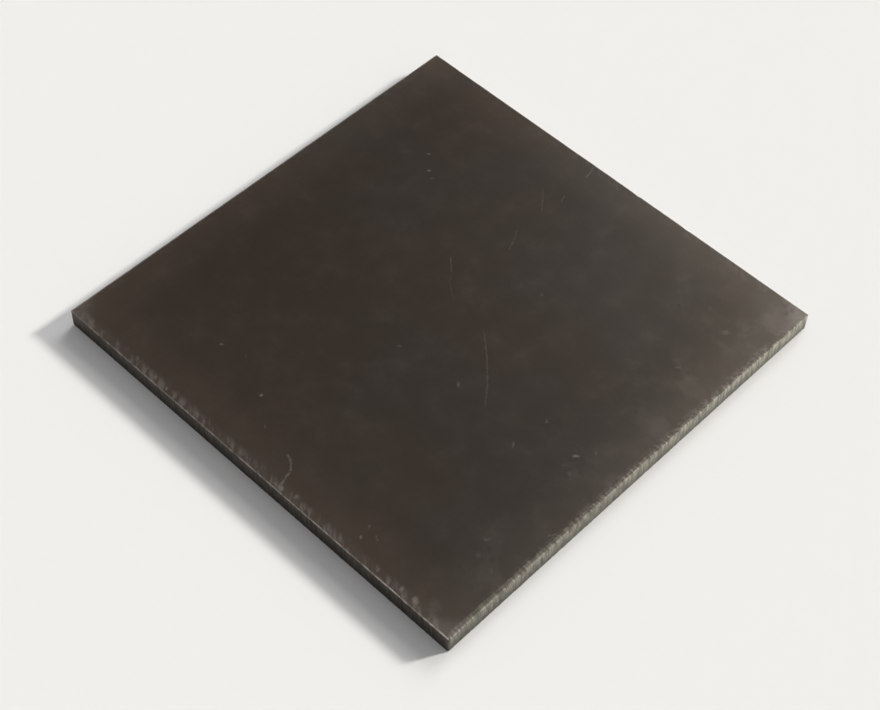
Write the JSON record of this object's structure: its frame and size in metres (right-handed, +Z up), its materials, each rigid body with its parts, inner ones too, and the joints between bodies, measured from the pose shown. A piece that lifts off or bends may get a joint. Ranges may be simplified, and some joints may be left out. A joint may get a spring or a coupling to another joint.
{
  "type": "steel plate",
  "caption": "Flat square piece of hot-rolled steel plate with dark mill-scale faces, cut sides and lightly broken edges; stock for bases, brackets and welded work.",
  "frame": {"origin": "middle of the lower face, on the surface that the plate lies on", "axes": "+Z up through the thickness, out of the upper face; +X along the width and +Y along the length, each square to a pair of cut sides"},
  "size_m": [0.1524, 0.1524, 0.0063],
  "materials": {
    "mill_scale_steel": "matte"
  },
  "bodies": {
    "root": {"steel_plate": "mill_scale_steel"}
  },
  "joints": []
}
